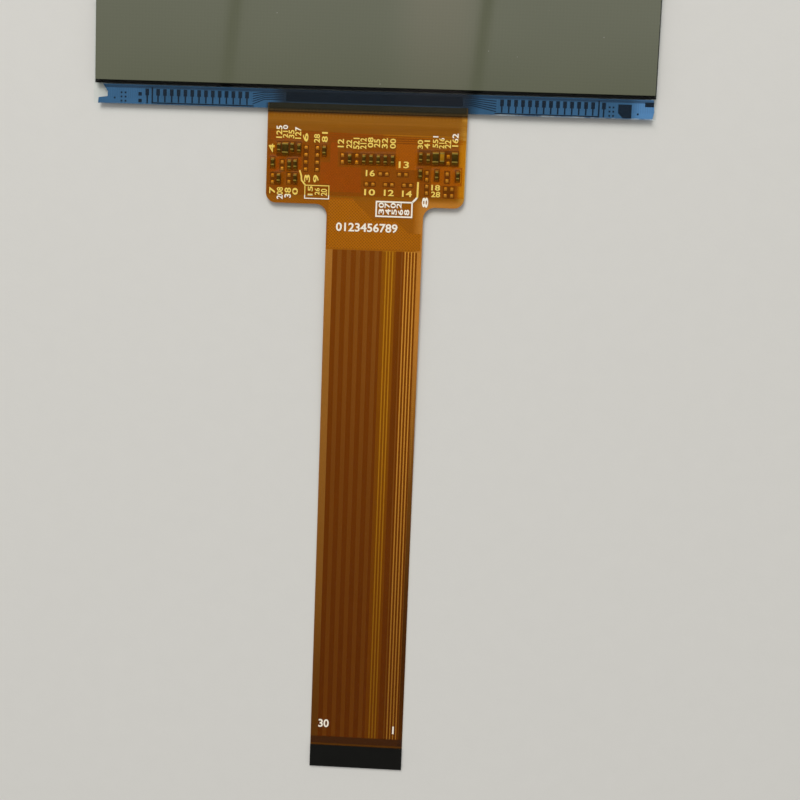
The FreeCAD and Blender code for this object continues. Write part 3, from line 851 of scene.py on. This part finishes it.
@dataclass
class PartTape:
    """The clear tape over the chip parts, draped over each and pressed down between them.

    The top and bottom edges are slanted, so each has a place at the left and one at the right.
    """

    left: float = -16.53
    right: float = 15.03
    top: Point = (-3.05, -4.05)
    bottom: Point = (-13.4, -13.15)
    pitch: float = 0.2
    thickness: float = 0.03
    lift: float = 0.022
    clearance: float = 0.012
    slope: float = 0.7
    wrinkle: float = 0.008
    full_rise: float = 0.2
    folds: Point = (1.1, 0.9)
    fold_slice: float = 3.0
    crease: float = 35.0

    def height(self, x: float, y: float, rest: float, parts: list[Box]) -> float:
        """The tape's underside at a place.

        Args:
            x: across the ledge.
            y: outwards from it, negative.
            rest: its height where nothing is under it.
            parts: lowest and highest corners of the parts.

        Returns:
            The height in millimetres.
        """
        crown = rest
        for low, high in parts:
            away = math.hypot(max(low.x - x, x - high.x, 0.0), max(low.y - y, y - high.y, 0.0))
            share = min(away / self.slope, 1.0)
            fall = 1 - share * share * (3 - 2 * share)
            crown = max(crown, rest + (high.z + self.clearance - rest) * fall)
        raised = min((crown - rest) / self.full_rise, 1.0)
        fold = noise.noise(Vector((x * self.folds[0], y * self.folds[1], self.fold_slice)))
        fold *= self.wrinkle * (1 - raised * 0.6)
        return crown + max(fold, 0.0) * 2

    def build(self) -> None:
        """The tape as a fine draped sheet with a thickness."""
        parts = [Drawing.span(node) for kind in PartKind for node in kind.nodes()]
        rest = Drawing.span("top_cover_film")[1].z + self.lift
        across = round((self.right - self.left) / self.pitch)
        down = round((self.top[0] - self.bottom[0]) / self.pitch)
        piece = Workpiece("part_tape")
        bmesh.ops.create_grid(piece.mesh, x_segments=across, y_segments=down, size=1.0)
        for vert in piece.mesh.verts:
            u, v = (vert.co.x + 1) / 2, (vert.co.y + 1) / 2
            x = self.left + (self.right - self.left) * u
            low = self.bottom[0] + (self.bottom[1] - self.bottom[0]) * u
            high = self.top[0] + (self.top[1] - self.top[0]) * u
            y = low + (high - low) * v
            vert.co = Drawing.at(x, y, self.height(x, y, rest, parts))
        bmesh.ops.recalc_face_normals(piece.mesh, faces=piece.mesh.faces[:])
        bmesh.ops.solidify(piece.mesh, geom=piece.mesh.faces[:], thickness=self.thickness * MM)
        made = piece.done("tape", [TAPE_FILM], ("component_tape",), smooth=True)
        made.data.set_sharp_from_angle(angle=math.radians(self.crease))


@dataclass
class ClearSheets:
    """The clear sheets, each a hair above what it lies on, so that one face alone shows there."""

    lift: float = 0.003
    arris: float = 0.05
    flat_angle: float = 0.01
    sharp_angle: float = 0.6
    edge_glint_reach: float = 0.1
    slant: float = 5.0
    metal_lift: float = 0.0015
    band: Point = (43.85, 44.52)
    band_inset: float = 0.05

    @staticmethod
    def copy_of(node: str, name: str, lift: float = 0.0) -> Workpiece:
        """A merged copy of a packed sheet, to be shaped further.

        Args:
            node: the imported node.
            name: the new piece's name.
            lift: how far it is raised, in millimetres.

        Returns:
            The copy as a workpiece.
        """
        piece = Workpiece(name)
        piece.mesh.from_mesh(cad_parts[node].data)
        bmesh.ops.remove_doubles(piece.mesh, verts=piece.mesh.verts[:], dist=MERGED)
        bmesh.ops.translate(piece.mesh, verts=piece.mesh.verts[:], vec=(0, 0, lift * MM))
        for face in piece.mesh.faces:
            face.material_index = 0
        return piece

    def build_glass(self) -> None:
        """The glass with the ledge: its edges broken a little, the front ones ground, with painted
        glints.
        """
        piece = self.copy_of("array_glass", "ledge_glass")
        mesh = piece.mesh
        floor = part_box("array_glass")[0].z + 0.5 * self.lift * MM
        foot = [vert for vert in mesh.verts if vert.co.z < floor]
        bmesh.ops.translate(mesh, verts=foot, vec=(0, 0, self.lift * MM))
        bmesh.ops.dissolve_limit(mesh, angle_limit=self.flat_angle, verts=mesh.verts[:],
                                 edges=mesh.edges[:])
        sharp = [edge for edge in mesh.edges if edge.calc_face_angle(0.0) > self.sharp_angle]
        bmesh.ops.bevel(mesh, geom=sharp, offset=self.arris * MM, segments=2, profile=0.5,
                        affect="EDGES", material=-1)
        mesh.normal_update()
        for face in mesh.faces:
            near_edge = face.calc_center_median().y < EDGE_Y + self.edge_glint_reach * MM
            slanted = max(map(abs, face.normal)) < math.cos(math.radians(self.slant))
            face.material_index = int(near_edge and slanted)
        piece.done("glass", [PANEL_GLASS, GROUND_EDGE_GLINTS], ("array_glass",))

    def build_band(self) -> None:
        """The black sealant that shows beside the polariser, along the cell's two sides."""
        low, high = Drawing.span("seal_frame")
        piece = Workpiece("side_bands")
        for side in (-1, 1):
            near, far = sorted((side * self.band[0], side * self.band[1]))
            piece.block(Drawing.at(near, low.y + self.band_inset, low.z),
                        Drawing.at(far, high.y - self.band_inset, high.z))
        piece.done("sealant", [SEAL])

    def build(self) -> None:
        """Cover film, glass, the metal under it and the bands beside the polariser."""
        cover = self.copy_of("top_cover_film", "cover_sheet", self.lift)
        cover.done("cover_film", [COVER_FILM], ("top_cover_film",))
        self.build_glass()
        for node in ("ledge_pads", "ledge_tracks"):
            metal = self.copy_of(node, node + "_dressed", self.metal_lift)
            metal.done("ledge_metal", [LEDGE_METAL], (node,))
        self.build_band()


@dataclass
class Print:
    """White ink on the cover film: numerals by the parts, two frames and their lines.

    A numeral is its digits and its field's left, right, low and high side. Those in turned read
    upwards. A frame has the same four sides and a line width, a line its width and its route.
    """

    ink: float = 0.012
    bold: float = 0.022
    head: float = Drawing.span("top_cover_film")[1].z + ClearSheets.lift
    tail: float = Drawing.span("bottom_cover_film")[0].z + 0.17
    level_end: float = -23.0
    turned: tuple[Numeral, ...] = (
        ("125", -15.2, -14.25, -4.55, -2.6), ("210", -14.15, -13.35, -4.5, -2.5),
        ("35", -13.25, -12.3, -4.55, -3.25), ("127", -12.2, -11.2, -4.6, -2.75),
        ("6", -10.95, -10.05, -5.0, -3.65), ("28", -9.15, -8.2, -5.1, -3.75),
        ("81", -7.9, -6.95, -5.0, -3.4), ("4", -16.35, -15.4, -6.8, -5.5),
        ("3", -10.55, -9.6, -11.35, -10.15), ("9", -9.1, -8.2, -11.35, -10.15),
        ("15", -9.9, -9.1, -13.4, -11.95), ("26", -8.8, -8.0, -13.3, -12.2),
        ("20", -7.8, -6.8, -13.4, -12.3), ("7", -16.1, -15.15, -13.3, -12.25),
        ("208", -14.9, -13.9, -14.15, -12.25), ("38", -13.65, -12.6, -13.9, -12.3),
        ("0", -12.4, -11.5, -13.4, -12.3), ("12", -5.35, -4.35, -5.7, -4.4),
        ("22", -3.95, -3.05, -5.8, -4.5), ("521", -2.85, -1.85, -5.9, -4.15),
        ("212", -1.75, -0.75, -5.85, -4.15), ("08", -0.55, 0.35, -5.6, -4.0),
        ("25", 0.45, 1.45, -5.55, -4.25), ("32", 1.7, 2.65, -5.65, -4.05),
        ("00", 3.0, 3.95, -5.65, -4.1), ("30", 7.4, 8.25, -5.55, -4.15),
        ("41", 8.45, 9.35, -5.5, -4.2), ("551", 9.8, 10.65, -5.3, -3.5),
        ("216", 10.75, 11.65, -5.4, -3.75), ("22", 11.7, 12.7, -5.35, -4.05),
        ("162", 12.85, 13.85, -5.05, -3.0), ("8", 8.45, 9.45, -14.75, -13.1),
        ("0", 1.55, 2.4, -15.0, -14.15), ("7", 2.5, 3.35, -15.0, -14.15),
        ("0", 3.45, 4.3, -15.0, -14.15), ("2", 4.4, 5.2, -15.0, -14.15),
        ("3", 1.55, 2.45, -16.05, -15.15), ("4", 2.6, 3.5, -16.05, -15.15),
        ("5", 3.65, 4.5, -16.05, -15.15), ("6", 4.65, 5.5, -16.05, -15.15),
        ("8", 5.65, 6.5, -16.05, -15.15),
    )
    upright: tuple[Numeral, ...] = (
        ("16", -0.7, 0.75, -10.1, -9.1), ("13", 4.5, 6.15, -8.65, -7.6),
        ("10", -0.85, 0.9, -13.1, -12.1), ("12", 2.3, 3.9, -13.1, -12.1),
        ("14", 5.2, 6.8, -13.15, -12.15), ("18", 9.85, 11.25, -12.0, -11.1),
        ("28", 9.85, 11.3, -13.05, -12.15), ("0123456789", -5.2, 4.7, -18.9, -17.5),
        ("30", -5.5, -3.75, -101.6, -100.2), ("1", 7.0, 7.26, -102.2, -100.9),
    )
    frames: tuple[tuple[float, float, float, float, float], ...] = (
        (1.06, 7.0, -16.45, -13.9, 0.24), (-10.45, -6.45, -13.95, -11.75, 0.15),
    )
    lines: tuple[tuple[float, tuple[Point, ...]], ...] = (
        (0.26, ((-11.3, -9.5), (-11.0, -10.4), (-10.95, -11.05), (-10.35, -11.8))),
        (0.3, ((7.7, -10.75), (7.68, -13.1), (7.4, -13.5), (6.9, -13.98))),
    )

    def height(self, y: float) -> float:
        """The cover film's outer face: level by the glass, low on the tail's far end."""
        return self.head if y > self.level_end else self.tail

    def up(self) -> Vector:
        """The ink's thickness as a way up."""
        return Vector((0, 0, self.ink * MM))

    def digits(self, piece: Workpiece, numeral: Numeral, turned: bool) -> None:
        """Adds one numeral, fitted into its field.

        Args:
            piece: the ink so far.
            numeral: the digits and their field.
            turned: whether it is turned a quarter, to read upwards.
        """
        text, x0, x1, y0, y1 = numeral
        curve = bpy.data.curves.new("digits", "FONT")
        curve.body = text
        curve.extrude = 0.5
        curve.offset = self.bold
        curve.resolution_u = 3
        carrier = add_object("digits", curve)
        bpy.context.view_layer.update()
        mesh = bpy.data.meshes.new_from_object(carrier)
        bpy.data.objects.remove(carrier)
        low, high = corners(mesh.vertices)
        size = high - low
        run, rise = (y1 - y0, x1 - x0) if turned else (x1 - x0, y1 - y0)
        fit = Matrix.Diagonal((run * MM / size.x, rise * MM / size.y, self.ink * MM / size.z, 1.0))
        y = (y0 + y1) / 2
        place = Matrix.Translation(Drawing.at((x0 + x1) / 2, y, self.height(y) + self.ink / 2))
        turn = Matrix.Rotation(math.pi / 2 if turned else 0.0, 4, "Z")
        mesh.transform(place @ turn @ fit @ Matrix.Translation(-(low + high) / 2))
        piece.mesh.from_mesh(mesh)
        bpy.data.meshes.remove(mesh)

    def frame_line(self, piece: Workpiece, x0: float, x1: float, y0: float, y1: float,
                   width: float) -> None:
        """Adds a rectangular frame of one line width."""
        z = self.height(y1)
        face = piece.face([Drawing.at(x, y, z) for x, y in ((x0, y0), (x1, y0), (x1, y1), (x0, y1))])
        face.normal_update()
        rim = bmesh.ops.inset_region(piece.mesh, faces=[face], thickness=width * MM, depth=0,
                                     use_boundary=True, use_even_offset=True)["faces"]
        bmesh.ops.delete(piece.mesh, geom=[face], context="FACES")
        piece.thicken(rim, self.up())

    def leader(self, piece: Workpiece, width: float, route: tuple[Point, ...]) -> None:
        """Adds a bent line: a ribbon along the route, then thickened."""
        z = self.height(route[0][1])
        spots = [Vector(spot) for spot in route]
        rows = []
        for before, spot, after in zip(spots[:1] + spots, spots, spots[1:] + spots[-1:]):
            ahead = (after - before).normalized()
            side = Vector((-ahead.y, ahead.x)) * width / 2
            rows.append([piece.mesh.verts.new(Drawing.at(*(spot + way), z)) for way in (side, -side)])
        ribbon = [piece.mesh.faces.new((*near, *reversed(far))) for near, far in zip(rows, rows[1:])]
        piece.thicken(ribbon, self.up())

    def build(self) -> None:
        """All the ink as one piece."""
        piece = Workpiece("printed_marks")
        for numerals, turned in ((self.turned, True), (self.upright, False)):
            for numeral in numerals:
                self.digits(piece, numeral, turned)
        for x0, x1, y0, y1, width in self.frames:
            self.frame_line(piece, x0, x1, y0, y1, width)
        for width, route in self.lines:
            self.leader(piece, width, route)
        piece.done("cover_film", [INK])


def dress_solids() -> None:
    """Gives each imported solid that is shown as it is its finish."""
    for node, finish in NODE_FINISHES.items():
        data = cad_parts[node].data
        data.materials.clear()
        data.materials.append(finish.material())
        LOG.info("%s: %s", node, finish.name)


# Studio


@dataclass
class Studio:
    """Pale floor, soft light and the camera of the photograph's view."""

    floor_size: float = 3.0
    floor: Colour = (0.70, 0.695, 0.665)
    floor_dip: float = 0.97
    lamp_place: Triple = (-0.30, 1.10, 1.15)
    lamp_aim: Triple = (0.0, -0.02, 0.0)
    lamp_size: float = 0.9
    lamp_power: float = 18.2
    lamp_colour: Colour = (1.0, 0.985, 0.955)
    fill: float = 0.475
    backdrop: Colour = (0.86, 0.86, 0.84)
    cool: Colour = (1.0, 0.99, 0.97)
    warm: Colour = (1.0, 0.86, 0.80)
    glow: Point = (0.23, 0.42)
    warm_patch: Point = (-0.04, 0.05)
    dark_bars: tuple[Point, Point] = ((-0.289, -0.275), (0.016, 0.03))
    bar_lean: float = 0.09
    bar_blur: float = 0.005
    camera_place: Triple = (9.649, -36.053, 130.508)
    camera_turn: Triple = (-0.0728717, 0.0296551, 0.0387866)
    lens: float = 36.0

    def build_floor(self) -> None:
        """A plain pale floor."""
        mesh = bmesh.new()
        bmesh.ops.create_grid(mesh, x_segments=1, y_segments=1, size=self.floor_size / 2)
        data = bpy.data.meshes.new("floor")
        mesh.to_mesh(data)
        mesh.free()
        dark = tuple(part * self.floor_dip for part in self.floor)
        data.materials.append(Mottled("pale_floor", dark, self.floor, 3.0, 0.7, depth=0.01,
                                      grain=0.6).material())
        add_object("floor", data)

    def build_lamp(self) -> None:
        """One broad soft lamp beyond the cell."""
        lamp = bpy.data.lights.new("soft_lamp", "AREA")
        lamp.shape = "SQUARE"
        lamp.size = self.lamp_size
        lamp.energy = self.lamp_power
        lamp.color = self.lamp_colour
        holder = add_object("soft_lamp", lamp)
        holder.location = self.lamp_place
        aim = Vector(self.lamp_aim) - Vector(self.lamp_place)
        holder.rotation_euler = aim.to_track_quat("-Z", "Y").to_euler()

    def build_room(self) -> None:
        """Even fill all round, and in the gloss a brighter side with a warm patch and two bars."""
        world = bpy.data.worlds.new("studio")
        world.use_nodes = True
        bpy.context.scene.world = world
        graph = Graph(world.node_tree)
        ray = {name: graph.node("ShaderNodeLightPath", output=name)
               for name in ("Is Camera Ray", "Is Glossy Ray")}
        split = graph.node("ShaderNodeSeparateXYZ",
                           sockets={0: graph.node("ShaderNodeTexCoord", output="Generated")})
        x, y, z = (Signal(graph, output) for output in split.socket.node.outputs)
        ahead, across = y / abs(z), x / abs(z)
        bright = ahead.step(*self.glow) * 0.66 + 0.06
        lean = across - ahead * self.bar_lean
        left, right = (lean.within(*bar, self.bar_blur) for bar in self.dark_bars)
        patch = across.within(*self.warm_patch, 0.03)
        bright = bright * (1 - (left + right) * 0.95)
        bright = bright * (patch * 0.72 + across.step(-0.5, 0.1) * 0.2 + 0.84)
        tint = graph.blend(patch, self.cool, self.warm)
        strength = ray["Is Glossy Ray"] * (bright - self.fill) + self.fill
        seen = graph.node("ShaderNodeBackground", {}, {"Color": self.backdrop, "Strength": 1.0})
        light = graph.node("ShaderNodeBackground", {}, {"Color": tint, "Strength": strength})
        graph.end(graph.over(ray["Is Camera Ray"], light, seen), "ShaderNodeOutputWorld")

    def build_camera(self) -> None:
        """The camera at the photograph's viewing angle."""
        camera = bpy.data.cameras.new("camera")
        camera.lens = self.lens
        camera.clip_start = 0.005
        camera.clip_end = 20.0
        holder = add_object("camera", camera)
        holder.location = Drawing.at(*self.camera_place)
        holder.rotation_euler = self.camera_turn
        bpy.context.scene.camera = holder

    def build(self) -> None:
        """Floor, lamp, room and camera, and the plain view of their colours."""
        self.build_floor()
        self.build_lamp()
        self.build_room()
        self.build_camera()
        scene = bpy.context.scene
        scene.view_settings.view_transform = "Standard"
        scene.cycles.transparent_max_bounces = 24


def main() -> None:
    """Builds the panel's dress and the studio in order."""
    logging.basicConfig(level=logging.INFO, format="%(name)s %(message)s")
    Studio().build()
    dress_solids()
    ClearSheets().build()
    ChipParts().build()
    CoverWindows().build()
    PadDomes().build()
    Print().build()
    PartTape().build()


if __name__ == "__main__":
    main()
